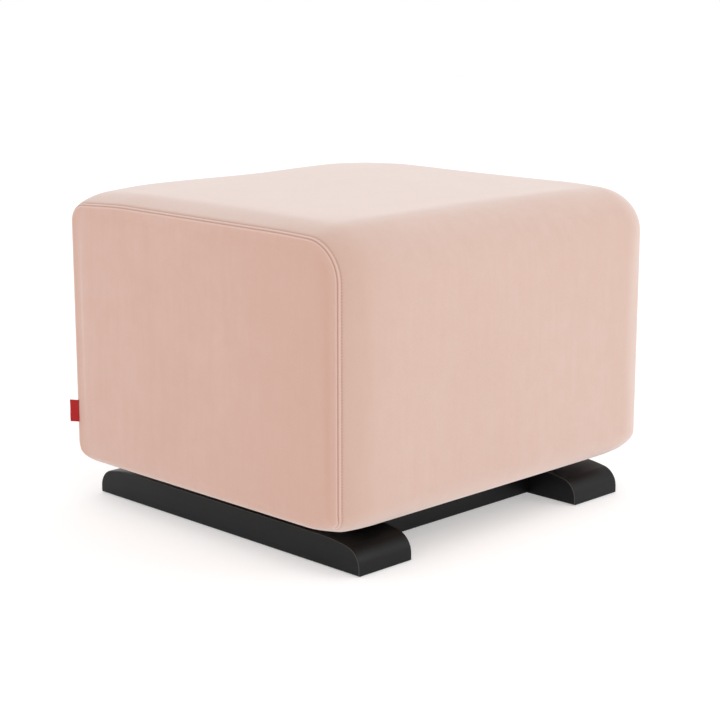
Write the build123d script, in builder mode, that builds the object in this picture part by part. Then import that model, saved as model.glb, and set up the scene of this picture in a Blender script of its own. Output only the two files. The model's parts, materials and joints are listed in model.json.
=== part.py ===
from build123d import *
import math
import os

# Gliding nursery ottoman, in millimetres.
# Origin: on the floor, under the middle. +X across the seat, -Y towards the front, +Z up.
# The seat hangs on four swing arms from two steel stands, and glides along Y.

# ---------------------------------------------------------------- driving dimensions
# Upholstered box
SEAM_X = 276.0  # plane of the side panels
SEAM_Y = 243.5  # half depth at the seam
UNDER, SEAM_HIGH = 52.0, 395.0
CROWN_SIDE = 13.0  # how far the band swells past the seam, front and rear
CROWN_TOP = 12.0
CROWN_WIDTH = 45.0  # the swelling dies out over this width beside each seam
CROWN_ANGLE = 60.0  # degrees of arc in the swelling
FRONT_TOP_RADIUS, REAR_TOP_RADIUS = 47.0, 24.0
LOW_RADIUS = 26.0  # where the cover turns under, at the seam of the front and rear
LOW_RADIUS_GROWTH = 9.0
SIDE_LOW_RADIUS = 14.0  # and along the sides
SEAM_SHIFT = 0.3  # the seam's cut lands this far in from the panel's edge
COVER = 3.0  # velvet with its backing
FIT_GAP = 0.3

# Wooden box inside
BOARD = 15.0
BOX_X, BOX_Y = 257.0, 231.5
BOX_LOW, BOX_HIGH = 62.0, 349.0
DECK = 12.0
PANEL = 8.0
WELL_X, WELL_Y = 165.0, 186.0
RAIL_HIGH = 110.0
RAIL_DEEP = 26.5
BLOCK = 30.0

# Base
RUNNER_IN, RUNNER_OUT = 154.0, 242.5
RUNNER_Y = 243.5
PAD_PROUD = 1.0
PAD_RADIUS, PAD_THICK = 14.0, 4.0
PAD_SPOTS = (-196.0, -66.0, 66.0, 196.0)
RUNNER_TOP = 38.0
NOSE_RADIUS = 25.0
CROSS_FACE, CROSS_DEEP = 165.0, 38.0
CROSS_LOW = 2.0
DOWEL_RADIUS, DOWEL_LONG = 5.0, 60.0
ARRIS = 1.5

# Glide mechanism
PIVOT_Y = 85.0
PIVOT_HIGH, PIVOT_LOW = 215.0, 75.0
SWING = 25.0  # degrees each way
STAND_X = 125.0
STEEL = 3.0
STAND_TOP_Y, STAND_LOW_Y = 104.0, 118.0
FOOT_WIDE = 32.0
ARM_X, ARM_THICK = 136.0, 7.0
ARM_END, ARM_WAIST = 17.0, 11.0
SEAT_RAIL_X = 147.0
TIE_Z, TIE_RADIUS, TIE_BORE = 195.0, 11.0, 4.1
BOLT_RADIUS = 4.0
RACE_OUT, RACE_IN = 11.0, 9.5
RING_OUT, RING_BORE = 6.0, 4.05
BALL_RADIUS, BALL_COUNT = 1.7, 7
SHIELD = 0.4
STOP_RADIUS, STOP_REACH = 9.0, 60.0
STOP_GAP = 0.5

TAB_WIDE, TAB_TALL, TAB_THICK, TAB_Z = 12.0, 29.0, 1.6, 118.5
FAR = 500.0  # beyond the whole object

SIDES = (-1, 1)
UPPER_PIVOTS = [(-PIVOT_Y, PIVOT_HIGH), (PIVOT_Y, PIVOT_HIGH)]
LOWER_PIVOTS = [(-PIVOT_Y, PIVOT_LOW), (PIVOT_Y, PIVOT_LOW)]
CORNER_NAMES = {(-1, -1): "front_left", (1, -1): "front_right", (-1, 1): "rear_left", (1, 1): "rear_right"}


# ---------------------------------------------------------------- helpers
def save(builder, name):
    """Label a finished piece and write it as its own STEP file."""
    builder.part.label = name
    export_step(builder.part, f"parts/{name}.step")


def block(x_range, y_range, z_range, mode=Mode.ADD):
    """Rectangular block between two values on each axis."""
    size = [high - low for low, high in (x_range, y_range, z_range)]
    middle = [(high + low) / 2 for low, high in (x_range, y_range, z_range)]
    with Locations(tuple(middle)):
        Box(*size, mode=mode)


def span(side, near, far):
    """Low and high value of a stretch that lies between near and far, on one side of zero."""
    return tuple(sorted((side * near, side * far)))


def round_x(side, near, far, centres, radius, bore=0.0, mode=Mode.ADD):
    """Discs or rings with their axis along X, from near to far on one side, at (y, z) centres."""
    with BuildSketch(Plane.YZ.offset(side * near)) as profile:
        with Locations(*centres):
            Circle(radius)
            if bore:
                Circle(bore, mode=Mode.SUBTRACT)
    extrude(profile.sketch, amount=side * (far - near), mode=mode)


def hex_x(side, near, far, centres, across, bore=0.0):
    """Hexagonal nuts or bolt heads with their axis along X."""
    with BuildSketch(Plane.YZ.offset(side * near)) as profile:
        with Locations(*centres):
            RegularPolygon(across / 2, 6, major_radius=False)
            if bore:
                Circle(bore, mode=Mode.SUBTRACT)
    extrude(profile.sketch, amount=side * (far - near))


def round_z(low, high, centres, radius, bore=0.0, mode=Mode.ADD):
    """Discs or rings with their axis along Z, at (x, y) centres."""
    with BuildSketch(Plane.XY.offset(low)) as profile:
        with Locations(*centres):
            Circle(radius)
            if bore:
                Circle(bore, mode=Mode.SUBTRACT)
    extrude(profile.sketch, amount=high - low, mode=mode)


def round_y(side, near, far, centres, radius, bore=0.0, mode=Mode.ADD):
    """Discs or rings with their axis along Y, at (x, z) centres."""
    with BuildSketch(Plane.XZ.offset(-side * near)) as profile:
        with Locations(*centres):
            Circle(radius)
            if bore:
                Circle(bore, mode=Mode.SUBTRACT)
    extrude(profile.sketch, amount=-side * (far - near), mode=mode)


def seat_outline(x, crown, inset):
    """Rounded outline across the seat at x; crown runs from 0 at the seam to 1 on the flat."""
    reach = SEAM_Y + CROWN_SIDE * crown - inset
    low = UNDER + inset
    high = SEAM_HIGH + CROWN_TOP * crown - inset
    low_radius = LOW_RADIUS + LOW_RADIUS_GROWTH * crown - inset
    rear_top = REAR_TOP_RADIUS + CROWN_TOP * crown - inset
    front_top = FRONT_TOP_RADIUS + CROWN_TOP * crown - inset
    corners = [(-reach, low), (reach, low), (reach, high), (-reach, high)]
    with BuildSketch(Plane.YZ.offset(x)) as section:
        with BuildLine():
            Polyline(*corners, close=True)
        make_face()
        for corner, radius in zip(corners, (low_radius, low_radius, rear_top, front_top)):
            fillet(section.vertices().sort_by_distance(Vector(*corner))[0], radius)
    return section.sketch


def crown_stations():
    """(x, crown) of the sections from the flat middle out to the seam."""
    top = math.sin(math.radians(CROWN_ANGLE))
    end = math.cos(math.radians(CROWN_ANGLE))
    stations = []
    for angle in (0.0, 20.0, 35.0, 48.0, CROWN_ANGLE):
        turn = math.radians(angle)
        x = SEAM_X - CROWN_WIDTH * (1 - math.sin(turn) / top)
        stations.append((x, (math.cos(turn) - end) / (1 - end)))
    return stations


def seat_form(inset):
    """Closed form of the padded box, inset from the outside of the cover, turned under at its sides."""
    stations = crown_stations()
    end_x = SEAM_X - inset
    stations[-1] = (end_x, 0.0)
    sections = [seat_outline(-x, crown, inset) for x, crown in reversed(stations)]
    sections += [seat_outline(x, crown, inset) for x, crown in stations]
    low = UNDER + inset
    with BuildPart() as form:
        loft(sections, ruled=True)
        with BuildSketch(Plane.XZ.offset(-FAR)) as turned_under:
            with BuildLine():
                Polyline((-end_x, low), (end_x, low), (end_x, FAR), (-end_x, FAR), close=True)
            make_face()
            fillet(turned_under.vertices().group_by(Axis.Y)[0], SIDE_LOW_RADIUS - inset)
        extrude(amount=2 * FAR, mode=Mode.INTERSECT)
    return form.part


def seam_wedge(side):
    """Region of one side panel: its border leans inward at 45 degrees, all round the seam."""
    ends = ((10.0, SEAM_SHIFT - 10.0), (-20.0, SEAM_SHIFT + 20.0))
    with BuildPart() as wedge:
        loft([seat_outline(side * (SEAM_X + past), 0.0, inset) for past, inset in ends], ruled=True)
    return wedge.part


def arm_names():
    """Side, end and name of each of the four corners."""
    return [(side, end, name) for (side, end), name in CORNER_NAMES.items()]


os.makedirs("parts", exist_ok=True)

# ---------------------------------------------------------------- base: runners and rails
DOWEL_SPOTS = [
    (end * (CROSS_FACE - CROSS_DEEP / 2) + shift, (CROSS_LOW + RUNNER_TOP) / 2)
    for end in SIDES
    for shift in (-9.0, 9.0)
]
SLOPE_START = math.radians(75)
NOSE_Y, NOSE_Z = RUNNER_Y - NOSE_RADIUS, PAD_PROUD + 8.0
nose_mid = (
    NOSE_Y + NOSE_RADIUS * math.cos(SLOPE_START / 2),
    NOSE_Z + NOSE_RADIUS * math.sin(SLOPE_START / 2),
)
nose_end = (
    NOSE_Y + NOSE_RADIUS * math.cos(SLOPE_START),
    NOSE_Z + NOSE_RADIUS * math.sin(SLOPE_START),
)
FLAT_START = 180.0
slope_mid = (203.0, 36.7)


def make_runner(side):
    """One runner: a board on the flat with a bull nose at each end, and recesses for its pads."""
    with BuildPart() as runner:
        with BuildSketch(Plane.YZ.offset(RUNNER_IN)) as profile:
            with BuildLine():
                Line((0, PAD_PROUD), (RUNNER_Y, PAD_PROUD))
                Line((RUNNER_Y, PAD_PROUD), (RUNNER_Y, NOSE_Z))
                ThreePointArc((RUNNER_Y, NOSE_Z), nose_mid, nose_end)
                ThreePointArc(nose_end, slope_mid, (FLAT_START, RUNNER_TOP))
                Line((FLAT_START, RUNNER_TOP), (0, RUNNER_TOP))
                Line((0, RUNNER_TOP), (0, PAD_PROUD))
            make_face()
            mirror(about=Plane.YZ)
        extrude(amount=RUNNER_OUT - RUNNER_IN)
        outlines = runner.faces().filter_by(Axis.X).edges()
        fillet(outlines, ARRIS)
        middle = (RUNNER_IN + RUNNER_OUT) / 2
        spots = [(middle, y) for y in PAD_SPOTS]
        round_z(PAD_PROUD, PAD_THICK, spots, PAD_RADIUS + FIT_GAP, mode=Mode.SUBTRACT)
        depth = RUNNER_IN + DOWEL_LONG / 2
        round_x(1, RUNNER_IN - 1, depth, DOWEL_SPOTS, DOWEL_RADIUS + 0.1, mode=Mode.SUBTRACT)
    if side < 0:
        with BuildPart() as mirrored:
            add(mirror(runner.part, about=Plane.YZ))
        return mirrored
    return runner


left_runner = make_runner(-1)
save(left_runner, "left_runner")
right_runner = make_runner(1)
save(right_runner, "right_runner")

LAG_X = STAND_X - FOOT_WIDE / 2 + STEEL
LAG_Y = CROSS_FACE - CROSS_DEEP / 2
for end, name in ((-1, "front_cross_rail"), (1, "rear_cross_rail")):
    with BuildPart() as cross_rail:
        y_range = span(end, CROSS_FACE - CROSS_DEEP, CROSS_FACE)
        block((-RUNNER_IN, RUNNER_IN), y_range, (CROSS_LOW, RUNNER_TOP))
        fillet(cross_rail.edges().filter_by(Axis.X), ARRIS)
        spots = [spot for spot in DOWEL_SPOTS if spot[0] * end > 0]
        for side in SIDES:
            inner = RUNNER_IN - DOWEL_LONG / 2
            round_x(side, inner, RUNNER_IN + 1, spots, DOWEL_RADIUS + 0.1, mode=Mode.SUBTRACT)
        lags = [(side * LAG_X, end * LAG_Y) for side in SIDES]
        round_z(6.0, RUNNER_TOP + 1, lags, 3.0, mode=Mode.SUBTRACT)
    save(cross_rail, name)

with BuildPart() as rail_dowels:
    for side in SIDES:
        near = RUNNER_IN - DOWEL_LONG / 2 + 1
        round_x(side, near, RUNNER_IN + DOWEL_LONG / 2 - 1, DOWEL_SPOTS, DOWEL_RADIUS)
save(rail_dowels, "rail_dowels")

with BuildPart() as grip_pads:
    middle = (RUNNER_IN + RUNNER_OUT) / 2
    spots = [(side * middle, y) for side in SIDES for y in PAD_SPOTS]
    round_z(0.0, PAD_THICK, spots, PAD_RADIUS)
    fillet(grip_pads.edges().group_by(Axis.Z)[0], 0.6)
save(grip_pads, "grip_pads")

# ---------------------------------------------------------------- base: stands
LIGHTENING_RADIUS = 23.0
LIGHTENING_SPOTS = [(-62.0, 96.0), (0.0, 96.0), (62.0, 96.0), (0.0, 150.0)]


def stop_centre(end):
    """(y, z) of the buffer that meets the arm at the end of its swing towards the middle."""
    offset = ARM_WAIST + STOP_RADIUS + STOP_GAP
    angle = math.radians(SWING) + math.asin(offset / STOP_REACH)
    y = end * (PIVOT_Y - STOP_REACH * math.sin(angle))
    return (y, PIVOT_HIGH - STOP_REACH * math.cos(angle))


STOP_SPOTS = [stop_centre(end) for end in SIDES]
FOOT_TOP = RUNNER_TOP + STEEL
HEAD_ROUND = 19.0
for side, name in ((-1, "left_stand"), (1, "right_stand")):
    with BuildPart() as stand:
        with BuildSketch(Plane.YZ.offset(side * STAND_X)) as web:
            with BuildLine():
                Polyline(
                    (-STAND_LOW_Y, FOOT_TOP),
                    (STAND_LOW_Y, FOOT_TOP),
                    (STAND_TOP_Y, PIVOT_HIGH + HEAD_ROUND),
                    (-STAND_TOP_Y, PIVOT_HIGH + HEAD_ROUND),
                    close=True,
                )
            make_face()
            fillet(web.vertices().group_by(Axis.Y)[-1], HEAD_ROUND - 1)
            with Locations(*UPPER_PIVOTS, (0, TIE_Z)):
                Circle(BOLT_RADIUS + 0.2, mode=Mode.SUBTRACT)
            with Locations(*LIGHTENING_SPOTS):
                Circle(LIGHTENING_RADIUS, mode=Mode.SUBTRACT)
            with Locations(*STOP_SPOTS):
                Circle(2.7, mode=Mode.SUBTRACT)
        extrude(amount=side * STEEL)
    save(stand, name)

with BuildPart() as stand_feet:
    for side in SIDES:
        foot_x = span(side, STAND_X + STEEL - FOOT_WIDE, STAND_X + STEEL)
        block(foot_x, (-CROSS_FACE, CROSS_FACE), (RUNNER_TOP, FOOT_TOP))
    fillet(stand_feet.edges().filter_by(Axis.Z), 5.0)
    lags = [(side * LAG_X, end * LAG_Y) for side in SIDES for end in SIDES]
    round_z(RUNNER_TOP - 1, FOOT_TOP + 1, lags, BOLT_RADIUS + 0.5, mode=Mode.SUBTRACT)
save(stand_feet, "stand_feet")

LAG_HEAD = 5.3
with BuildPart() as stand_lag_bolts:
    lags = [(side * LAG_X, end * LAG_Y) for side in SIDES for end in SIDES]
    round_z(8.0, FOOT_TOP, lags, 3.0)
    round_z(RUNNER_TOP, FOOT_TOP, lags, BOLT_RADIUS)
    round_z(FOOT_TOP, FOOT_TOP + 1.2, lags, 9.0)
    with BuildSketch(Plane.XY.offset(FOOT_TOP + 1.2)) as heads:
        with Locations(*lags):
            RegularPolygon(6.5, 6, major_radius=False)
    extrude(amount=LAG_HEAD - 1.2)
save(stand_lag_bolts, "stand_lag_bolts")

with BuildPart() as stand_tie_tube:
    with BuildSketch(Plane.YZ.offset(-STAND_X)):
        with Locations((0, TIE_Z)):
            Circle(TIE_RADIUS)
            Circle(TIE_BORE, mode=Mode.SUBTRACT)
    extrude(amount=2 * STAND_X)
save(stand_tie_tube, "stand_tie_tube")

TIE_BOLT_LONG = 40.0
with BuildPart() as tie_bolts:
    for side in SIDES:
        outer = STAND_X + STEEL
        round_x(side, outer - TIE_BOLT_LONG, outer, [(0, TIE_Z)], BOLT_RADIUS)
        round_x(side, outer, outer + 4.5, [(0, TIE_Z)], 7.0)
save(tie_bolts, "tie_bolts")

with BuildPart() as bump_stops:
    for side in SIDES:
        near = STAND_X + STEEL
        round_x(side, near, ARM_X + ARM_THICK - 1, STOP_SPOTS, STOP_RADIUS, 2.6)
        round_x(side, near + 9.5, ARM_X + ARM_THICK, STOP_SPOTS, 5.6, mode=Mode.SUBTRACT)
save(bump_stops, "bump_stops")

with BuildPart() as bump_stop_screws:
    for side in SIDES:
        near = STAND_X + STEEL
        round_x(side, near + 9.5, near + 12.5, STOP_SPOTS, 4.6)
        round_x(side, STAND_X - 5.5, near + 9.5, STOP_SPOTS, 2.5)
        hex_x(side, STAND_X - 4.0, STAND_X, STOP_SPOTS, 8.0)
save(bump_stop_screws, "bump_stop_screws")

# ---------------------------------------------------------------- upper and lower pivots
HEAD_LOW, NUT_HIGH = 4.5, 6.5
STAND_FACE = STAND_X + STEEL
ARM_FACE = ARM_X + ARM_THICK

with BuildPart() as upper_pivot_bolts:
    for side in SIDES:
        hex_x(side, STAND_X - 5.3, STAND_X, UPPER_PIVOTS, 13.0)
        round_x(side, STAND_X, ARM_FACE + NUT_HIGH + 2.5, UPPER_PIVOTS, BOLT_RADIUS)
save(upper_pivot_bolts, "upper_pivot_bolts")

with BuildPart() as upper_pivot_nuts:
    for side in SIDES:
        near = ARM_FACE + 1.0
        round_x(side, ARM_FACE, near, UPPER_PIVOTS, RING_OUT, BOLT_RADIUS)
        hex_x(side, near, near + NUT_HIGH - 1.0, UPPER_PIVOTS, 13.0, BOLT_RADIUS)
save(upper_pivot_nuts, "upper_pivot_nuts")

with BuildPart() as upper_pivot_spacers:
    for side in SIDES:
        round_x(side, STAND_FACE, ARM_X, UPPER_PIVOTS, RING_OUT, BOLT_RADIUS + 0.1)
save(upper_pivot_spacers, "upper_pivot_spacers")

with BuildPart() as lower_pivot_bolts:
    for side in SIDES:
        round_x(side, ARM_X - HEAD_LOW, ARM_X, LOWER_PIVOTS, RING_OUT)
        round_x(side, ARM_X, SEAT_RAIL_X + STEEL + NUT_HIGH + 2.0, LOWER_PIVOTS, BOLT_RADIUS)
save(lower_pivot_bolts, "lower_pivot_bolts")

with BuildPart() as lower_pivot_nuts:
    for side in SIDES:
        near = SEAT_RAIL_X + STEEL
        hex_x(side, near, near + NUT_HIGH, LOWER_PIVOTS, 13.0, BOLT_RADIUS)
save(lower_pivot_nuts, "lower_pivot_nuts")

with BuildPart() as lower_pivot_spacers:
    for side in SIDES:
        round_x(side, ARM_FACE, SEAT_RAIL_X, LOWER_PIVOTS, RING_OUT, BOLT_RADIUS + 0.1)
save(lower_pivot_spacers, "lower_pivot_spacers")

for name, pivots in (("upper_inner_rings", UPPER_PIVOTS), ("lower_inner_rings", LOWER_PIVOTS)):
    with BuildPart() as inner_rings:
        for side in SIDES:
            round_x(side, ARM_X, ARM_FACE, pivots, RING_OUT, RING_BORE)
    save(inner_rings, name)

# ---------------------------------------------------------------- swing arms with their bearings
BALL_CIRCLE = (RING_OUT + RACE_IN) / 2
for side, end, corner in arm_names():
    y = end * PIVOT_Y
    pivots = [(y, PIVOT_HIGH), (y, PIVOT_LOW)]
    with BuildPart() as arm:
        with BuildSketch(Plane.YZ.offset(side * ARM_X)) as link:
            with Locations(*pivots):
                Circle(ARM_END)
            with Locations((y, (PIVOT_HIGH + PIVOT_LOW) / 2)):
                Rectangle(2 * ARM_WAIST, PIVOT_HIGH - PIVOT_LOW)
            inner_corners = link.vertices()
            fillet(inner_corners, 8.0)
            with Locations(*pivots):
                Circle(RACE_OUT, mode=Mode.SUBTRACT)
        extrude(amount=side * ARM_THICK)
    save(arm, f"{corner}_arm")

    with BuildPart() as bearings:
        round_x(side, ARM_X, ARM_FACE, pivots, RACE_OUT, RACE_IN)
        for near in (ARM_X + 0.2, ARM_FACE - 0.2 - SHIELD):
            round_x(side, near, near + SHIELD, pivots, RACE_IN, RING_OUT + 0.4)
    save(bearings, f"{corner}_bearings")

    with BuildPart() as balls:
        for centre_y, centre_z in pivots:
            for number in range(BALL_COUNT):
                turn = 2 * math.pi * number / BALL_COUNT
                ball_y = centre_y + BALL_CIRCLE * math.cos(turn)
                ball_z = centre_z + BALL_CIRCLE * math.sin(turn)
                with Locations((side * (ARM_X + ARM_THICK / 2), ball_y, ball_z)):
                    Sphere(BALL_RADIUS)
    save(balls, f"{corner}_bearing_balls")

# ---------------------------------------------------------------- seat: steel rails
RAIL_FACE_Y = BOX_Y - BOARD - RAIL_DEEP  # inner face of the bottom rails
RAIL_LOW_Z = BOX_LOW + PANEL
FLANGE_WIDE = 28.0
SEAT_RAIL_HIGH = 104.0
SEAT_RAIL_BOLT_X = SEAT_RAIL_X + STEEL + FLANGE_WIDE / 2 + 1
SEAT_RAIL_BOLT_Z = (79.0, 93.0)
for side, name in ((-1, "left_seat_rail"), (1, "right_seat_rail")):
    with BuildPart() as seat_rail:
        web_x = span(side, SEAT_RAIL_X, SEAT_RAIL_X + STEEL)
        flange_x = span(side, SEAT_RAIL_X + STEEL, SEAT_RAIL_X + STEEL + FLANGE_WIDE)
        long_y = (-RAIL_FACE_Y, RAIL_FACE_Y)
        web_z = (RAIL_LOW_Z - 12, SEAT_RAIL_HIGH)
        block(web_x, (-WELL_Y + 1, WELL_Y - 1), web_z)
        block(web_x, long_y, (RAIL_LOW_Z + 2, SEAT_RAIL_HIGH))
        block(flange_x, long_y, (SEAT_RAIL_HIGH - STEEL, SEAT_RAIL_HIGH))
        for end in SIDES:
            tab_y = span(end, RAIL_FACE_Y - STEEL, RAIL_FACE_Y)
            block(flange_x, tab_y, (RAIL_LOW_Z + 2, SEAT_RAIL_HIGH - STEEL))
            holes = [(side * SEAT_RAIL_BOLT_X, z) for z in SEAT_RAIL_BOLT_Z]
            near = RAIL_FACE_Y - STEEL - 1
            round_y(end, near, RAIL_FACE_Y + 1, holes, 3.3, mode=Mode.SUBTRACT)
        near = SEAT_RAIL_X - 1
        round_x(side, near, near + STEEL + 2, LOWER_PIVOTS, BOLT_RADIUS + 0.2, mode=Mode.SUBTRACT)
    save(seat_rail, name)

with BuildPart() as seat_rail_bolts:
    for end in SIDES:
        holes = [(side * SEAT_RAIL_BOLT_X, z) for side in SIDES for z in SEAT_RAIL_BOLT_Z]
        tab_face = RAIL_FACE_Y - STEEL
        round_y(end, tab_face, RAIL_FACE_Y + 20, holes, 3.0)
        round_y(end, tab_face - 3.5, tab_face, holes, 5.5)
save(seat_rail_bolts, "seat_rail_bolts")

# ---------------------------------------------------------------- seat: wooden box
INSIDE_X, INSIDE_Y = BOX_X - BOARD, BOX_Y - BOARD
BOARD_LOW, BOARD_HIGH = BOX_LOW + PANEL, BOX_HIGH - DECK
SCREW_Z = (110.0, 200.0, 290.0)
for end, word in ((-1, "front"), (1, "rear")):
    with BuildPart() as board:
        block((-BOX_X, BOX_X), span(end, INSIDE_Y, BOX_Y), (BOARD_LOW, BOARD_HIGH))
    save(board, f"{word}_board")
    with BuildPart() as bottom_rail:
        y_range = span(end, RAIL_FACE_Y, INSIDE_Y)
        block((-INSIDE_X, INSIDE_X), y_range, (RAIL_LOW_Z, RAIL_HIGH))
        holes = [(side * SEAT_RAIL_BOLT_X, z) for side in SIDES for z in SEAT_RAIL_BOLT_Z]
        round_y(end, RAIL_FACE_Y - 1, RAIL_FACE_Y + 21, holes, 3.0, mode=Mode.SUBTRACT)
    save(bottom_rail, f"{word}_bottom_rail")

for side, word in ((-1, "left"), (1, "right")):
    with BuildPart() as board:
        block(span(side, INSIDE_X, BOX_X), (-INSIDE_Y, INSIDE_Y), (BOARD_LOW, BOARD_HIGH))
    save(board, f"{word}_board")

with BuildPart() as top_deck:
    block((-BOX_X, BOX_X), (-BOX_Y, BOX_Y), (BOARD_HIGH, BOX_HIGH))
    fillet(top_deck.edges().filter_by(Axis.Z), 6.0)
save(top_deck, "top_deck")

with BuildPart() as bottom_panel:
    block((-BOX_X, BOX_X), (-BOX_Y, BOX_Y), (BOX_LOW, BOARD_LOW))
    block((-WELL_X, WELL_X), (-WELL_Y, WELL_Y), (BOX_LOW, BOARD_LOW), mode=Mode.SUBTRACT)
save(bottom_panel, "bottom_panel")

with BuildPart() as corner_blocks:
    for side in SIDES:
        for end in SIDES:
            with BuildSketch(Plane.XY.offset(RAIL_HIGH)) as wedge:
                with BuildLine():
                    Polyline(
                        (side * INSIDE_X, end * INSIDE_Y),
                        (side * (INSIDE_X - BLOCK), end * INSIDE_Y),
                        (side * (INSIDE_X - BLOCK), end * (INSIDE_Y - 6)),
                        (side * (INSIDE_X - 6), end * (INSIDE_Y - BLOCK)),
                        (side * INSIDE_X, end * (INSIDE_Y - BLOCK)),
                        close=True,
                    )
                make_face()
            extrude(wedge.sketch, amount=BOARD_HIGH - RAIL_HIGH)
save(corner_blocks, "corner_blocks")

SCREW_RADIUS, SCREW_HEAD, SCREW_LONG = 2.0, 4.0, 40.0
DECK_SCREWS = [(side * (BOX_X - BOARD / 2), y) for side in SIDES for y in (-160.0, 0.0, 160.0)]
with BuildPart() as frame_screws:
    for end in SIDES:
        spots = [(side * (BOX_X - BOARD / 2), z) for side in SIDES for z in SCREW_Z]
        round_y(end, BOX_Y - SCREW_LONG, BOX_Y - 2, spots, SCREW_RADIUS)
        round_y(end, BOX_Y - 2, BOX_Y, spots, SCREW_HEAD)
    round_z(BOX_HIGH - SCREW_LONG, BOX_HIGH - 2, DECK_SCREWS, SCREW_RADIUS)
    round_z(BOX_HIGH - 2, BOX_HIGH, DECK_SCREWS, SCREW_HEAD)
save(frame_screws, "frame_screws")

# ---------------------------------------------------------------- seat: padding
padding_form = seat_form(COVER + FIT_GAP)
WIDE = (-FAR, FAR)
PADDING = {
    "top_foam": (WIDE, WIDE, (BOX_HIGH, 450.0)),
    "left_foam": ((-FAR, -BOX_X), WIDE, (BOX_LOW, BOX_HIGH)),
    "right_foam": ((BOX_X, FAR), WIDE, (BOX_LOW, BOX_HIGH)),
    "front_foam": ((-BOX_X, BOX_X), (-FAR, -BOX_Y), (BOX_LOW, BOX_HIGH)),
    "rear_foam": ((-BOX_X, BOX_X), (BOX_Y, FAR), (BOX_LOW, BOX_HIGH)),
    "bottom_padding": (WIDE, WIDE, (0.0, BOX_LOW)),
}
for name, (x_range, y_range, z_range) in PADDING.items():
    with BuildPart() as padding:
        block(x_range, y_range, z_range)
        add(padding_form, mode=Mode.INTERSECT)
        if name == "bottom_padding":
            block((-WELL_X, WELL_X), (-WELL_Y, WELL_Y), (0.0, BOX_LOW), mode=Mode.SUBTRACT)
    save(padding, name)

# ---------------------------------------------------------------- seat: cover
HEM_X, HEM_Y = WELL_X + 10, WELL_Y + 8
with BuildPart() as cover_skin:
    add(seat_form(0.0))
    add(seat_form(COVER), mode=Mode.SUBTRACT)
    block((-HEM_X, HEM_X), (-HEM_Y, HEM_Y), (0.0, BOX_LOW), mode=Mode.SUBTRACT)

with BuildPart() as cover_band:
    add(cover_skin.part)
    for side in SIDES:
        add(seam_wedge(side), mode=Mode.SUBTRACT)
save(cover_band, "cover_band")

for side, name in ((-1, "left_side_panel"), (1, "right_side_panel")):
    with BuildPart() as side_panel:
        add(cover_skin.part)
        add(seam_wedge(side), mode=Mode.INTERSECT)
    save(side_panel, name)

tab_plane = Plane(
    origin=(-SEAM_X - 0.9, SEAM_Y - 3.0, TAB_Z),
    x_dir=(-0.5, math.sqrt(0.75), 0),
    z_dir=(0, 0, 1),
)
with BuildPart() as label_tab:
    with BuildSketch(tab_plane.offset(-TAB_TALL / 2)):
        with Locations((TAB_WIDE / 2, 0)):
            RectangleRounded(TAB_WIDE, TAB_THICK, TAB_THICK / 2 - 0.01)
    extrude(amount=TAB_TALL)
save(label_tab, "label_tab")

DUST = 1.0
DUST_X, DUST_Y = WELL_X + 27, WELL_Y + 20
with BuildPart() as dust_cover:
    block((-DUST_X, DUST_X), (-DUST_Y, DUST_Y), (UNDER - DUST, UNDER))
    block((-WELL_X, WELL_X), (-WELL_Y, WELL_Y), (UNDER - DUST, UNDER), mode=Mode.SUBTRACT)
save(dust_cover, "dust_cover")

STAPLE_LONG, STAPLE_WIRE, STAPLE_PITCH = 10.0, 1.2, 32.0
STAPLE_INSET = 5.0


def staple_row(half, other, along_x):
    """Centres of the staples on both long edges of the dust cover, and which way they lie."""
    count = int(2 * half // STAPLE_PITCH)
    steps = [(number - (count - 1) / 2) * STAPLE_PITCH for number in range(count)]
    for step in steps:
        for edge in SIDES:
            yield (step, edge * other) if along_x else (edge * other, step)


with BuildPart() as staples:
    with BuildSketch(Plane.XY.offset(UNDER - DUST)) as crowns:
        with Locations(*staple_row(DUST_X, DUST_Y - STAPLE_INSET, True)):
            Rectangle(STAPLE_LONG, STAPLE_WIRE)
        with Locations(*staple_row(DUST_Y - 20, DUST_X - STAPLE_INSET, False)):
            Rectangle(STAPLE_WIRE, STAPLE_LONG)
    extrude(amount=-0.7)
save(staples, "staples")
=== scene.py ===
import json
import math

import bpy
import numpy as np
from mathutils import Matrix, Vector


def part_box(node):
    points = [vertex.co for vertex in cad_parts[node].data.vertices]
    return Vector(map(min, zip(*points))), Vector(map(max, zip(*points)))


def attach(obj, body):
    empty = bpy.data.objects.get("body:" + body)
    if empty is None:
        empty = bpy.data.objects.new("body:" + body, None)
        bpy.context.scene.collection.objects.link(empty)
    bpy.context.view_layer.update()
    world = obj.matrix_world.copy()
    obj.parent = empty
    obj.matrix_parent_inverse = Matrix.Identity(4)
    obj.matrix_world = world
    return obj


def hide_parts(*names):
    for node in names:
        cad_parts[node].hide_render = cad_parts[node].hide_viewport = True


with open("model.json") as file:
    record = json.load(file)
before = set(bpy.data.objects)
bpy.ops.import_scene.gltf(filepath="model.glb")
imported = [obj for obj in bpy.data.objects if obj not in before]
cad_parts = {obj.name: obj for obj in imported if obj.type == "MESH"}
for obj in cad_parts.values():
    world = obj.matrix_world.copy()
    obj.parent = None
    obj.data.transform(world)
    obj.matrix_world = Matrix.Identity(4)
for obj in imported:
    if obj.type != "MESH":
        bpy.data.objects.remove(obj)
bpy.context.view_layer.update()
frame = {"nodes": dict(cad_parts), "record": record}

MM = 0.001

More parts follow.
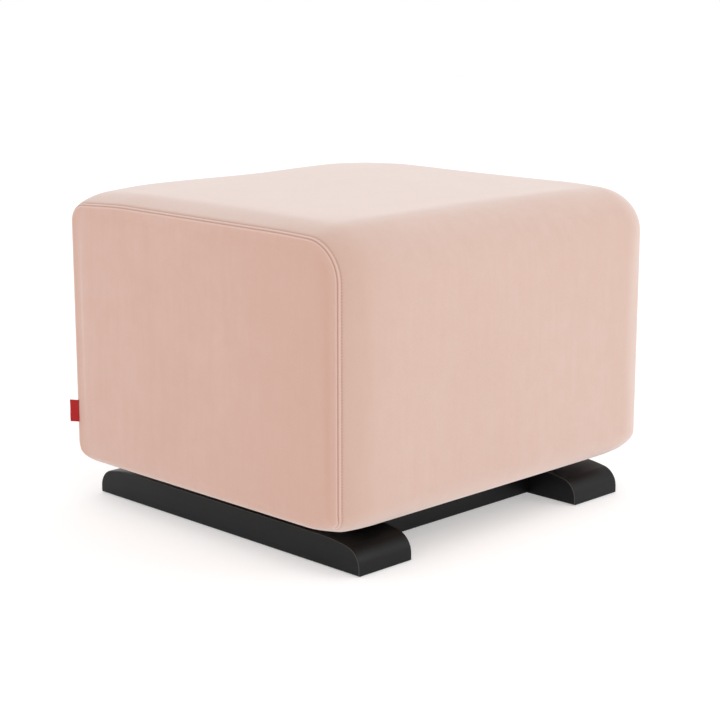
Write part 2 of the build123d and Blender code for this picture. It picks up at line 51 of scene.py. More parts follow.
# ------------------------------------------------------------------ sizes, in metres
BAND_LOW, BAND_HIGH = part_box("cover_band")
SEAM_X = BAND_HIGH.x
FLAT_Y = BAND_HIGH.y
FLAT_HIGH = BAND_HIGH.z
FLAT_LOW = BAND_LOW.z
CROWN_SIDE, CROWN_TOP = 13 * MM, 12 * MM  # how far the band stands out past its seams
SEAM_Y = FLAT_Y - CROWN_SIDE
SEAM_HIGH = FLAT_HIGH - CROWN_TOP
CROWN_WIDTH = 45 * MM  # the band rises to its flat over this distance from the seam
CROWN_ANGLE = math.radians(60)  # arc that the rise follows, from the flat to the seam
# corner radii at the seam: front low, rear low, rear top, front top, and how much the flat adds
SEAM_RADII = (20 * MM, 26 * MM, 24 * MM, 47 * MM)
RADIUS_GROWTH = (15 * MM, 9 * MM, 12 * MM, 12 * MM)
TUCK, TUCK_FRONT = 14 * MM, 27 * MM  # radius on which the sides turn under, and at the front corners
TUCK_REACH = 75 * MM  # the radius grows over this distance from the front
LOW_REACH, HIGH_REACH = 62 * MM, 125 * MM  # how far the pull of the corners is felt
PULL_HEIGHT = 80 * MM  # and how far up or down from the corner
PULL_FULL = 8 * MM  # it is full this near the front and the rear
CORNER_LIFT = 4.0 * MM  # how far it draws the front lower corners up
REAR_DROP, FRONT_DROP = 5.0 * MM, 2.5 * MM  # and the upper corners down
STITCH_IN = 3.6 * MM  # topstitching, from the seam
STITCH_PITCH, STITCH_LONG, THREAD = 3.6 * MM, 2.7 * MM, 0.32 * MM  # pitch, length and thread radius
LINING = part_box("dust_cover")
HEM_Y, HEM_X = LINING[1].y - 12 * MM, LINING[1].x - 17 * MM  # inner edge of the turned-under velvet
CLOTH_THICK = 1.4 * MM


# ------------------------------------------------------------------ small helpers
def new_object(name, verts, faces, smooth=True):
    """A mesh object from points and faces, linked to the scene."""
    mesh = bpy.data.meshes.new(name)
    mesh.from_pydata([tuple(v) for v in verts], [], [tuple(f) for f in faces])
    mesh.validate()
    mesh.update()
    obj = bpy.data.objects.new(name, mesh)
    bpy.context.scene.collection.objects.link(obj)
    if smooth:
        mesh.polygons.foreach_set("use_smooth", [True] * len(mesh.polygons))
    return obj


def grid_faces(rows, columns, wrap=False, flip=False):
    """Quads of a grid of rows x columns points; wrap joins the last row to the first."""
    faces = []
    for r in range(rows if wrap else rows - 1):
        after = (r + 1) % rows
        for c in range(columns - 1):
            quad = (r * columns + c, r * columns + c + 1, after * columns + c + 1, after * columns + c)
            faces.append(quad[::-1] if flip else quad)
    return faces


def set_attribute(obj, name, values):
    """A number on each point of the mesh, which a material can read."""
    layer = obj.data.attributes.new(name, "FLOAT", "POINT")
    layer.data.foreach_set("value", np.asarray(values, np.float32))


def smooth_step(low, high, value):
    """0 below low, 1 above high, and a smooth rise between them."""
    t = np.clip((value - low) / (high - low), 0, 1)
    return t * t * (3 - 2 * t)


def bell(value, middle, width):
    """1 at the middle, falling away on both sides."""
    return math.exp(-(((value - middle) / width) ** 2))


# ------------------------------------------------------------------ node materials
class Nodes:
    """Short way to write a node tree."""

    def __init__(self, name):
        self.material = bpy.data.materials.new(name)
        self.material.use_nodes = True
        self.tree = self.material.node_tree
        self.shader = self.tree.nodes["Principled BSDF"]

    def add(self, kind, inputs=None, **settings):
        node = self.tree.nodes.new(kind)
        for key, value in settings.items():
            setattr(node, key, value)
        for key, value in (inputs or {}).items():
            self.set(node.inputs[key], value)
        return node

    def set(self, socket, value):
        if isinstance(value, bpy.types.NodeSocket):
            self.tree.links.new(value, socket)
        else:
            socket.default_value = value

    def shade(self, **values):
        for key, value in values.items():
            self.set(self.shader.inputs[key.replace("_", " ")], value)

    def place(self, scale=(1, 1, 1)):
        """Object coordinates, scaled along each axis."""
        coordinates = self.add("ShaderNodeTexCoord").outputs["Object"]
        return self.add("ShaderNodeMapping", {"Vector": coordinates, "Scale": scale}).outputs[0]

    def noise(self, scale, detail=2.0, rough=0.5, stretch=(1, 1, 1)):
        inputs = {"Vector": self.place(stretch), "Scale": scale, "Detail": detail, "Roughness": rough}
        return self.add("ShaderNodeTexNoise", inputs).outputs["Fac"]

    def ramp(self, value, *stops):
        """Colours (or greys) at positions."""
        node = self.add("ShaderNodeValToRGB", {"Fac": value})
        elements = node.color_ramp.elements
        while len(elements) < len(stops):
            elements.new(0.5)
        for element, (position, colour) in zip(elements, stops):
            element.position = position
            element.color = (*colour, 1) if hasattr(colour, "__len__") else (colour,) * 3 + (1,)
        return node.outputs["Color"]

    def mix(self, factor, a, b, blend="MIX"):
        node = self.add("ShaderNodeMix", data_type="RGBA", blend_type=blend)
        self.set(node.inputs[0], factor)
        self.set(node.inputs[6], a)
        self.set(node.inputs[7], b)
        return node.outputs[2]

    def math(self, operation, a, b=0.0):
        node = self.add("ShaderNodeMath", operation=operation)
        self.set(node.inputs[0], a)
        self.set(node.inputs[1], b)
        return node.outputs[0]

    def bump(self, height, strength, distance, after=None):
        inputs = {"Height": height, "Strength": strength, "Distance": distance}
        if after is not None:
            inputs["Normal"] = after
        return self.add("ShaderNodeBump", inputs).outputs[0]


def colour(r, g, b):
    """Linear colour from an sRGB one in 0 to 255."""
    return tuple(((c / 255 + 0.055) / 1.055) ** 2.4 if c > 10 else c / 255 / 12.92 for c in (r, g, b))


# Painted shade for the seam crease and stitch groove, and a painted highlight for the padded strip and
# rolled edge next to the seam.
CREASE_SHADE_TONE, PAINTED_HIGHLIGHT_TONE = colour(176, 124, 108), colour(238, 212, 201)
STOP_SCALE = 3.5  # spreads a distance in metres over more of a ramp


def velvet_material(name, light, middle, deep, axis, stops):
    """Velvet: short pile, its shade drifting with the lie of the pile.

    It is painted deeper toward the seam, as painted shade, along an axis of the piece and between two
    stops in metres. On the seam itself the points' seam number paints shade into the crease and stitch
    groove where positive, and a painted highlight onto the padded strip and rolled edge where negative.
    """
    m = Nodes(name)
    lie = m.noise(5.0, 3.0, 0.55)
    drift = m.noise(38.0, 3.0, 0.6)
    pile = m.noise(1500.0, 2.0, 0.7)
    base = m.ramp(lie, (0.3, middle), (0.7, light))
    place = m.add("ShaderNodeSeparateXYZ", {"Vector": m.place()}).outputs[axis]
    reach = m.math("ABSOLUTE", place) if axis == "X" else m.math("MULTIPLY", place, -1.0)
    start, end = (STOP_SCALE * stop for stop in stops)
    # Painted shade: the velvet is deeper toward the seam, between the two stops.
    beside = m.ramp(m.math("MULTIPLY", reach, STOP_SCALE), (start, 0.0), (end, 0.6))
    base = m.mix(beside, base, (*deep, 1))
    base = m.mix(m.ramp(drift, (0.35, 0.0), (0.75, 0.35)), base, (*deep, 1))
    streak = m.noise(1.0, 4.0, 0.6, (110.0, 110.0, 11.0))
    base = m.mix(m.ramp(streak, (0.35, 0.0), (0.7, 0.3)), base, (*deep, 1))
    fine = m.ramp(pile, (0.2, 0.86), (0.8, 1.0))
    base = m.mix(1.0, base, fine, "MULTIPLY")
    seam = m.add("ShaderNodeAttribute", attribute_name="seam").outputs["Fac"]
    # Painted shade: positive seam numbers darken the crease and stitch groove.
    base = m.mix(m.math("MAXIMUM", seam, 0.0), base, (*CREASE_SHADE_TONE, 1))
    # Painted highlight: negative seam numbers lighten the padded strip and rolled edge.
    painted_highlight = m.math("MAXIMUM", m.math("MULTIPLY", seam, -1.0), 0.0)
    base = m.mix(painted_highlight, base, (*PAINTED_HIGHLIGHT_TONE, 1))
    weave = m.noise(420.0, 3.0, 0.6, (1.0, 1.0, 1.6))
    normal = m.bump(drift, 0.12, 0.002)
    normal = m.bump(weave, 0.25, 0.0004, normal)
    normal = m.bump(pile, 0.35, 0.0002, normal)
    rough = m.ramp(drift, (0.3, 0.82), (0.8, 0.95))
    m.shade(Base_Color=base, Roughness=rough, Normal=normal, Specular_IOR_Level=0.15)
    m.shade(Sheen_Weight=0.85, Sheen_Roughness=0.5, Sheen_Tint=(1.0, 0.97, 0.96, 1))
    return m.material


def thread_material():
    """Blush polyester thread, twisted."""
    m = Nodes("blush_thread")
    twist = m.noise(900.0, 2.0)
    base = m.ramp(twist, (0.3, colour(208, 160, 146)), (0.7, colour(222, 180, 166)))
    m.shade(Base_Color=base, Roughness=0.6, Normal=m.bump(twist, 0.5, 0.0002))
    m.shade(Sheen_Weight=0.2, Specular_IOR_Level=0.4)
    return m.material


def stained_wood(name, long_axis):
    """Black satin stain over timber: faint long grain, and a painted highlight that makes the rounded
    edges a little lighter.
    """
    m = Nodes(name)
    stretch = [60.0, 60.0, 60.0]
    stretch[long_axis] = 4.0
    grain = m.noise(3.0, 6.0, 0.65, tuple(stretch))
    pores = m.noise(9.0, 3.0, 0.7, tuple(stretch))
    film = m.noise(14.0, 2.0, 0.5)
    base = m.ramp(grain, (0.3, colour(12, 12, 13)), (0.75, colour(19, 19, 19)))
    facing = m.add("ShaderNodeSeparateXYZ", {"Vector": m.add("ShaderNodeTexCoord").outputs["Normal"]})
    lean = m.math("ABSOLUTE", facing.outputs["Y" if long_axis == 0 else "X"])
    # Painted highlight on the rounded edges, found by the lean of the normal and varied by the film noise.
    arris = m.ramp(lean, (0.45, 0.0), (0.55, 0.75), (0.85, 0.75), (0.95, 0.0))
    arris_highlight = m.mix(m.ramp(film, (0.3, 0.7), (0.7, 1.0)), (0, 0, 0, 1), arris)
    base = m.mix(arris_highlight, base, (*colour(96, 95, 93), 1))
    rough = m.ramp(film, (0.3, 0.34), (0.7, 0.44))
    normal = m.bump(grain, 0.08, 0.0006)
    normal = m.bump(pores, 0.06, 0.0003, normal)
    m.shade(Base_Color=base, Roughness=rough, Normal=normal, Specular_IOR_Level=0.2)
    return m.material


def raw_wood(name, long_axis, light, dark, ply=False):
    """Unfinished frame timber, or plywood with its glue lines on the edge."""
    m = Nodes(name)
    stretch = [28.0, 28.0, 28.0]
    stretch[long_axis] = 2.0
    grain = m.noise(3.0, 5.0, 0.6, tuple(stretch))
    base = m.ramp(grain, (0.3, dark), (0.7, light))
    if ply:
        height = m.add("ShaderNodeSeparateXYZ", {"Vector": m.place()}).outputs["Z"]
        layers = m.math("FRACT", m.math("MULTIPLY", height, 500.0))
        lines = m.ramp(layers, (0.0, 0.6), (0.15, 1.0))
        base = m.mix(0.6, base, m.mix(1.0, base, lines, "MULTIPLY"))
    m.shade(Base_Color=base, Roughness=0.75, Normal=m.bump(grain, 0.25, 0.0008))
    return m.material


def coated_steel():
    """Black powder coat with its fine orange peel."""
    m = Nodes("black_steel")
    peel = m.noise(700.0, 2.0)
    film = m.noise(20.0, 3.0)
    base = m.ramp(film, (0.3, colour(30, 30, 31)), (0.7, colour(38, 38, 39)))
    m.shade(Base_Color=base, Roughness=m.ramp(film, (0.3, 0.4), (0.7, 0.52)))
    m.shade(Normal=m.bump(peel, 0.2, 0.0002), Specular_IOR_Level=0.5)
    return m.material


def plated_steel(name, tone, rough):
    """Bright plated fasteners and bearings, with fine turning marks."""
    m = Nodes(name)
    marks = m.noise(60.0, 3.0, 0.6, (40.0, 6.0, 6.0))
    low = tuple(c * 0.82 for c in tone)
    m.shade(Base_Color=m.ramp(marks, (0.3, low), (0.7, tone)), Metallic=1.0)
    m.shade(Roughness=m.ramp(marks, (0.3, rough), (0.7, rough + 0.12)))
    m.shade(Normal=m.bump(marks, 0.08, 0.0002))
    return m.material


def rubber_material():
    """Moulded black rubber."""
    m = Nodes("grip_rubber")
    grit = m.noise(500.0, 3.0, 0.7)
    m.shade(Base_Color=m.ramp(grit, (0.3, colour(26, 26, 26)), (0.7, colour(36, 36, 36))))
    m.shade(Roughness=0.85, Normal=m.bump(grit, 0.3, 0.0003))
    return m.material


def foam_material():
    """Open-celled seating foam."""
    m = Nodes("seat_foam")
    cells = m.add("ShaderNodeTexVoronoi", {"Vector": m.place(), "Scale": 650.0}).outputs["Distance"]
    tone = m.noise(12.0, 3.0)
    base = m.ramp(tone, (0.3, colour(232, 222, 190)), (0.7, colour(240, 231, 204)))
    m.shade(Base_Color=base, Roughness=0.95, Normal=m.bump(cells, 0.6, 0.0008))
    return m.material


def lining_material():
    """Black non-woven lining cloth, point bonded."""
    m = Nodes("black_lining")
    fibres = m.noise(260.0, 4.0, 0.75)
    bonds = m.add("ShaderNodeTexVoronoi", {"Vector": m.place(), "Scale": 520.0}, feature="F1")
    dots = m.ramp(bonds.outputs["Distance"], (0.2, 0.0), (0.4, 1.0))
    base = m.ramp(fibres, (0.3, colour(22, 22, 23)), (0.7, colour(38, 38, 39)))
    normal = m.bump(dots, 0.4, 0.0002, m.bump(fibres, 0.4, 0.0004))
    m.shade(Base_Color=base, Roughness=0.9, Normal=normal, Sheen_Weight=0.15)
    return m.material


def webbing_material():
    """Red woven tab: fine ribs across."""
    m = Nodes("red_webbing")
    height = m.add("ShaderNodeSeparateXYZ", {"Vector": m.place()}).outputs["Z"]
    ribs = m.math("SINE", m.math("MULTIPLY", height, 2 * math.pi / (0.7 * MM)))
    threads = m.noise(1800.0, 2.0, 0.6)
    base = m.ramp(threads, (0.3, colour(158, 20, 24)), (0.7, colour(190, 36, 36)))
    normal = m.bump(threads, 0.4, 0.0002, m.bump(ribs, 0.35, 0.00025))
    m.shade(Base_Color=base, Roughness=0.7, Normal=normal, Sheen_Weight=0.1, Specular_IOR_Level=0.2)
    return m.material


BAND_TONES = colour(215, 184, 171), colour(211, 179, 165), colour(207, 171, 154)
# The side panels take a darker, more saturated copy of the band's velvet: painted shade on the sides.
SHADED_SIDE_TONES = colour(216, 178, 163), colour(212, 172, 156), colour(208, 163, 144)
# Each piece is painted deeper toward its seams as painted shade: the band toward its side seams, the
# panels toward the front.
VELVET = velvet_material("blush_velvet", *BAND_TONES, "X", (0.19, 0.27))
SHADED_SIDE_VELVET = velvet_material("blush_velvet_side_shaded", *SHADED_SIDE_TONES, "Y", (0.06, 0.24))
THREAD_MATERIAL = thread_material()
MATERIALS = {
    "grip_rubber": rubber_material(),
    "black_steel": coated_steel(),
    "zinc_steel": plated_steel("zinc_steel", (0.62, 0.61, 0.57), 0.3),
    "bearing_steel": plated_steel("bearing_steel", (0.7, 0.7, 0.7), 0.16),
    "foam": foam_material(),
    "black_lining": lining_material(),
    "red_webbing": webbing_material(),
    "blush_velvet": VELVET,
}
BEECH_LIGHT, BEECH_DARK = colour(214, 180, 138), colour(186, 146, 104)
PLY_LIGHT, PLY_DARK = colour(222, 192, 148), colour(196, 160, 116)
for axis, letter in enumerate("xyz"):
    MATERIALS["black_wood_" + letter] = stained_wood("black_wood_" + letter, axis)
    MATERIALS["beech_" + letter] = raw_wood("beech_" + letter, axis, BEECH_LIGHT, BEECH_DARK)
    MATERIALS["plywood_" + letter] = raw_wood("plywood_" + letter, axis, PLY_LIGHT, PLY_DARK, True)


def dress_cad_nodes():
    """Gives each CAD node the procedural material of its slot; timber gets the one along its grain."""
    slots = {s["node"]: s["material_slot"] for s in frame["record"]["subparts"]}
    for name, obj in frame["nodes"].items():
        slot = slots[name]
        if slot in ("black_wood", "beech", "plywood"):
            low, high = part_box(name)
            size = high - low
            long_axis = max(range(3), key=lambda i: size[i])
            if name == "corner_blocks":  # four upright blocks, far apart
                long_axis = 2
            slot = slot + "_" + "xyz"[long_axis]
        for place in obj.material_slots:
            place.material = MATERIALS[slot]


dress_cad_nodes()


# ------------------------------------------------------------------ outline of the padded box
CORNER_STEPS = 10  # quads round each corner
STRAIGHT_STEPS = (72, 46)  # quads along a level straight and an upright one


def corner_centres(crown, inset=0.0):
    """Centre, radius and first angle of each corner arc, going from front low, by the rear, round."""
    reach = SEAM_Y + CROWN_SIDE * crown - inset
    low = FLAT_LOW + inset
    high = SEAM_HIGH + CROWN_TOP * crown - inset
    radii = [r + g * crown - inset for r, g in zip(SEAM_RADII, RADIUS_GROWTH)]
    signs = [(-1, -1), (1, -1), (1, 1), (-1, 1)]
    starts = [math.pi, 1.5 * math.pi, 0.0, 0.5 * math.pi]
    arcs = []
    for (sy, sz), radius, start in zip(signs, radii, starts):
        centre = (sy * (reach - radius), (low if sz < 0 else high) - sz * radius)
        arcs.append((centre, radius, start))
    return arcs


def straight_stops(index):
    """Fractions along the straight after corner number index, the same for every crown."""
    (y0, _), _, _ = corner_centres(1.0)[index]
    (y1, _), _, _ = corner_centres(1.0)[(index + 1) % 4]
    count = STRAIGHT_STEPS[index % 2]
    stops = [n / count for n in range(1, count)]
    if index == 0:  # the hem's ends fall on stops of the underside
        for hem in (-HEM_Y, HEM_Y):
            wanted = (hem - y0) / (y1 - y0)
            nearest = min(range(len(stops)), key=lambda n: abs(stops[n] - wanted))
            stops[nearest] = wanted
    return stops


STOPS = [straight_stops(index) for index in range(4)]


def outline(crown, inset=0.0):
    """Points (y, z) and outward directions round the box, the same number for every crown."""
    arcs = corner_centres(crown, inset)
    points, normals = [], []
    for index, ((cy, cz), radius, start) in enumerate(arcs):
        for step in range(CORNER_STEPS + 1):
            angle = start + step / CORNER_STEPS * math.pi / 2
            normals.append((math.cos(angle), math.sin(angle)))
            points.append((cy + radius * math.cos(angle), cz + radius * math.sin(angle)))
        (ny, nz), next_radius, next_start = arcs[(index + 1) % 4]
        first, normal = points[-1], normals[-1]
        last = (ny + next_radius * math.cos(next_start), nz + next_radius * math.sin(next_start))
        for stop in STOPS[index]:
            points.append(tuple(a + (b - a) * stop for a, b in zip(first, last)))
            normals.append(normal)
    return np.array(points), np.array(normals)


def crown_at(inward):
    """Crown, 0 at the seam to 1 on the flat, and its slope, at a distance inward from the seam."""
    if inward >= CROWN_WIDTH:
        return 1.0, 0.0
    top, end = math.sin(CROWN_ANGLE), math.cos(CROWN_ANGLE)
    sine = (1 - max(inward, 0) / CROWN_WIDTH) * top
    cosine = math.sqrt(1 - sine * sine)
    slope = sine / cosine * top / CROWN_WIDTH / (1 - end)
    return (cosine - end) / (1 - end), slope


# Seam relief on the band: distance from the seam and height, in mm.
BAND_RELIEF = (
    (0.0, -1.3), (0.15, -0.5), (0.4, 0.1), (0.9, 0.42), (1.7, 0.5), (2.5, 0.4), (3.1, 0.0),
    (3.6, -0.55), (4.1, -0.1), (4.8, 0.28), (6.5, 0.35), (9.0, 0.25), (13.0, 0.1), (18.0, 0.0),
)
# Seam relief on the side panel: distance inward from its edge and height, in mm.
PANEL_RELIEF = (
    (0.0, -1.4), (0.2, -0.4), (0.5, 0.2), (1.0, 0.52), (1.8, 0.6), (3.0, 0.45), (4.8, 0.12), (7.0, -0.05),
    (10.0, -0.1), (14.0, 0.0),
)


def relief_at(relief, distance):
    """Height of the seam relief at a distance, both in metres."""
    stops = np.array(relief) * MM
    return float(np.interp(distance, stops[:, 0], stops[:, 1]))


def wander(count, waves, seed):
    """A smooth random line round a loop of count points, within -1 to 1."""
    maker = np.random.default_rng(seed)
    turn = np.arange(count) / count * 2 * math.pi
    line = np.zeros(count)
    for wave in waves:
        line += maker.uniform(0.4, 1.0) * np.sin(wave * turn + maker.uniform(0, 2 * math.pi))
    return line / len(waves)


def fade_under(normals):
    """Full relief round the sides and none on the underside, where the cover runs on with no seam."""
    return 1 - smooth_step(0.86, 0.995, -normals[:, 1])


def tuck(points):
    """Rounds the lower edge of the sides: the square corner of the section becomes a quarter circle."""
    points = np.array(points)
    front = smooth_step(FLAT_Y - TUCK_REACH, SEAM_Y, -points[:, 1])
    radius = TUCK + (TUCK_FRONT - TUCK) * front
    across = (np.abs(points[:, 0]) - (SEAM_X - radius)) / radius
    down = (FLAT_LOW + radius - points[:, 2]) / radius
    turned = (across > 0) & (down > 0)
    narrower = across * (1 - np.sqrt(1 - np.where(turned, down, 0) ** 2 / 2))
    higher = down * (1 - np.sqrt(1 - np.where(turned, across, 0) ** 2 / 2))
    points[:, 0] -= np.sign(points[:, 0]) * narrower * radius
    points[:, 2] += higher * radius
    return pull_corners(points)


def pull_corners(points):
    """Draws the front lower corners up and the upper corners down, where the cover pulls tightest."""
    low = (1 - smooth_step(FLAT_LOW, FLAT_LOW + PULL_HEIGHT, points[:, 2])) * (points[:, 1] < 0)
    high = smooth_step(FLAT_HIGH - PULL_HEIGHT, FLAT_HIGH, points[:, 2])
    drop = np.where(points[:, 1] > 0, REAR_DROP, FRONT_DROP)
    low_pull = CORNER_LIFT * low * near_corner(points, LOW_REACH)
    points[:, 2] += low_pull - drop * high * near_corner(points, HIGH_REACH)
    return points


def near_corner(points, reach):
    """1 at the upright edges of the box, seen from above, and 0 from a reach away from them."""
    across = smooth_step(SEAM_X - reach, SEAM_X, np.abs(points[:, 0]))
    return across * smooth_step(FLAT_Y - reach, FLAT_Y - PULL_FULL, np.abs(points[:, 1]))


def band_line(side, inward, lift=0.0):
    """Points round the band at a distance inward from one seam, lifted off the surface."""
    crown, slope = crown_at(inward)
    points, normals = outline(crown)
    growth = np.abs(normals[:, 0]) * CROWN_SIDE + np.clip(normals[:, 1], 0, 1) * CROWN_TOP
    lean = growth * slope  # the surface rises this much per metre inward
    size = np.sqrt(1 + lean * lean)
    height = relief_at(BAND_RELIEF, inward) * fade_under(normals) + lift
    line = np.zeros((len(points), 3))
    line[:, 0] = side * (SEAM_X - inward + height * lean / size)
    line[:, 1:] = points + normals * (height / size)[:, None]
    return tuck(line)


# ------------------------------------------------------------------ cloth simulation
SIM_FRAMES = 20
CLOTH_SLACK = 0.004  # the cloth is cut this share too large
SPREAD_ROUNDS, SPREAD_KEEP = 40, 0.4


def billow(obj, pinned, pressure, cap):
    """Inflates a sheet a little as cloth, held at the pinned points, and keeps the result.

    The moves are evened out, and no point moves farther than the cap.
    """
    rest = np.array([v.co for v in obj.data.vertices])
    group = obj.vertex_groups.new(name="held")
    group.add([int(i) for i in pinned], 1.0, "REPLACE")
    cloth = obj.modifiers.new("cloth", "CLOTH")
    settings = cloth.settings
    settings.quality = 6
    settings.mass = 0.25
    settings.air_damping = 8
    settings.tension_stiffness = 30
    settings.compression_stiffness = 30
    settings.shear_stiffness = 15
    settings.bending_stiffness = 4
    settings.shrink_min = -CLOTH_SLACK
    settings.vertex_group_mass = "held"
    settings.use_pressure = True
    settings.uniform_pressure_force = pressure
    settings.effector_weights.gravity = 0
    cloth.collision_settings.use_collision = False
    scene = bpy.context.scene
    for number in range(1, SIM_FRAMES + 1):
        scene.frame_set(number)
    shown = obj.evaluated_get(bpy.context.evaluated_depsgraph_get())
    moved = np.array([v.co for v in shown.data.vertices])
    obj.modifiers.remove(cloth)
    obj.vertex_groups.remove(group)
    scene.frame_set(1)
    shift = spread(obj, moved - rest, pinned)
    length = np.linalg.norm(shift, axis=1)
    scale = cap * np.tanh(length / cap) / np.maximum(length, 1e-9)
    final = rest + shift * scale[:, None]
    obj.data.vertices.foreach_set("co", final.astype(np.float32).ravel())
    obj.data.update()
    print("billow", obj.name, "largest move, mm", round(float(length.max() / MM), 2))


def spread(obj, shift, pinned):
    """Evens out the moves of the points between neighbours, so that no wrinkle is left."""
    edges = np.array([tuple(e.vertices) for e in obj.data.edges])
    count = np.zeros(len(shift))
    np.add.at(count, edges.ravel(), 1)
    for _ in range(SPREAD_ROUNDS):
        total = np.zeros_like(shift)
        np.add.at(total, edges[:, 0], shift[edges[:, 1]])
        np.add.at(total, edges[:, 1], shift[edges[:, 0]])
        shift = SPREAD_KEEP * shift + (1 - SPREAD_KEEP) * total / count[:, None]
        shift[pinned] = 0
    return shift


def thicken(obj, thickness, offset=-1):
    """Gives a sheet its thickness: inward, or with an offset of 0 to both sides."""
    modifier = obj.modifiers.new("thickness", "SOLIDIFY")
    modifier.thickness = thickness
    modifier.offset = offset


# ------------------------------------------------------------------ cover band
MIDDLE_STEP, EDGE_STEPS = 12 * MM, 5
GATHER_MM, WAVE_MM = 0.22, 0.14  # height of the small gathers by the stitches, and of the slow waves
GATHER_SHIFT = 37  # points between the gathers of the left seam and the same ones on the right
HELD_IN, HELD_UP = 7 * MM, 10 * MM  # the cloth is held this near the seams and the underside
BAND_PRESSURE, BAND_CAP = 3.0, 1.8 * MM


def band_columns():
    """Distances from the left seam of each column of points, up to the right seam."""
    seam = [d * MM for d, _ in BAND_RELIEF] + [22 * MM, 27 * MM, 33 * MM, 39 * MM, CROWN_WIDTH]
    reach = 2 * SEAM_X
    hem = SEAM_X - HEM_X
    edge = [seam[-1] + (hem - seam[-1]) * n / EDGE_STEPS for n in range(1, EDGE_STEPS + 1)]
    count = round((reach - 2 * hem) / MIDDLE_STEP)
    middle = [hem + (reach - 2 * hem) * n / count for n in range(1, count)]
    left = seam + edge
    return left + middle + [reach - d for d in reversed(left)]


def open_hem(points, faces):
    """Leaves out the faces inside the hem, and gives the rest with the numbers of the points used."""
    x, y, z = np.abs(points[:, 0]), np.abs(points[:, 1]), points[:, 2]
    inside = (x < HEM_X + 1e-6) & (y < HEM_Y + 1e-6) & (z < FLAT_LOW + 6 * MM)
    faces = [f for f in faces if not all(inside[i] for i in f)]
    used = sorted({i for f in faces for i in f})
    renumber = {old: new for new, old in enumerate(used)}
    return [tuple(renumber[i] for i in f) for f in faces], used


def make_band():
    """Front, top, rear and turned-under velvet: one loop, open in the middle of the underside."""
    columns = band_columns()
    rows = len(outline(1.0)[0])
    fade = fade_under(outline(1.0)[1])
    pucker = wander(rows, (31, 43, 57, 71, 90), 3)
    soft = wander(rows, (5, 7, 9, 13), 4)
    grid = np.zeros((rows, len(columns), 3))
    shade = np.zeros((rows, len(columns)))
    for c, from_left in enumerate(columns):
        side = -1 if from_left <= SEAM_X else 1
        inward = min(from_left, 2 * SEAM_X - from_left)
        gather = smooth_step(STITCH_IN, 9 * MM, inward) * (1 - smooth_step(14 * MM, 34 * MM, inward))
        swell = math.sin(math.pi * min(inward / (2 * CROWN_WIDTH), 1.0))
        gathers = pucker if side < 0 else np.roll(pucker, GATHER_SHIFT)
        lift = (GATHER_MM * gather * gathers + WAVE_MM * swell * soft) * MM
        grid[:, c] = band_line(side, inward, lift)
        # Seam number: painted shade in the stitch groove and in the crease.
        groove = bell(inward, STITCH_IN, 0.5 * MM)
        crease_shade = bell(inward, 0.0, 0.45 * MM)
        # Painted highlight on the padded strip between the crease and the stitches, taken off the seam
        # number.
        roll = bell(inward, 1.9 * MM, 0.8 * MM)
        shade[:, c] = min(1.0, 0.6 * groove + crease_shade - 0.35 * roll) * fade
    points = grid.reshape(-1, 3)
    faces, used = open_hem(points, grid_faces(rows, len(columns), wrap=True, flip=True))
    obj = new_object("velvet_band", points[used], faces)
    set_attribute(obj, "seam", shade.reshape(-1)[used])
    across = np.tile(np.array(columns), rows)[used]
    inward = np.minimum(across, 2 * SEAM_X - across)
    under = points[used][:, 2] < FLAT_LOW + HELD_UP
    pinned = np.nonzero((inward < HELD_IN) | under)[0]
    billow(obj, pinned, BAND_PRESSURE, BAND_CAP)
    thicken(obj, CLOTH_THICK)
    obj.data.materials.append(VELVET)
    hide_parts("cover_band")
    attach(obj, "seat")


# ------------------------------------------------------------------ side panels
ALONG_Y = STRAIGHT_STEPS[0] + CORNER_STEPS
ALONG_Z = STRAIGHT_STEPS[1] + CORNER_STEPS
PANEL_WAVE = 0.15 * MM  # height of the slow waves inside the rolled edge
PANEL_PRESSURE, PANEL_CAP = 2.0, 1.5 * MM


def coons(loop):
    """Grid that fills a loop of 2 * (ALONG_Y + ALONG_Z) points, and the loop's places in it."""
    loop = np.vstack([loop, loop[:1]])
    low = loop[: ALONG_Y + 1]
    rear = loop[ALONG_Y : ALONG_Y + ALONG_Z + 1]
    high = loop[ALONG_Y + ALONG_Z : 2 * ALONG_Y + ALONG_Z + 1][::-1]
    front = loop[2 * ALONG_Y + ALONG_Z :][::-1]
    u = np.linspace(0, 1, ALONG_Y + 1)[None, :, None]
    v = np.linspace(0, 1, ALONG_Z + 1)[:, None, None]
    corners = (1 - u) * ((1 - v) * low[0] + v * high[0]) + u * ((1 - v) * low[-1] + v * high[-1])
    grid = (1 - v) * low[None] + v * high[None] + (1 - u) * front[:, None] + u * rear[:, None] - corners
    wide = ALONG_Y + 1
    edge = list(range(ALONG_Y)) + [row * wide + ALONG_Y for row in range(ALONG_Z)]
    edge += [ALONG_Z * wide + column for column in range(ALONG_Y, 0, -1)]
    edge += [row * wide for row in range(ALONG_Z, 0, -1)]
    return grid.reshape(-1, 3), edge


def panel_faces(rings, total, edge):
    """Quads of the rings of points inside the seam, and of the grid that fills the last ring."""
    base = rings * total
    faces = []
    for ring in range(rings):
        for n in range(total):
            after = (n + 1) % total
            outer = (ring * total + n, ring * total + after)
            if ring < rings - 1:
                inner = ((ring + 1) * total + after, (ring + 1) * total + n)
            else:
                inner = (base + edge[after], base + edge[n])
            faces.append(outer + inner)
    for quad in grid_faces(ALONG_Z + 1, ALONG_Y + 1):
        faces.append(tuple(base + i for i in quad))
    return faces


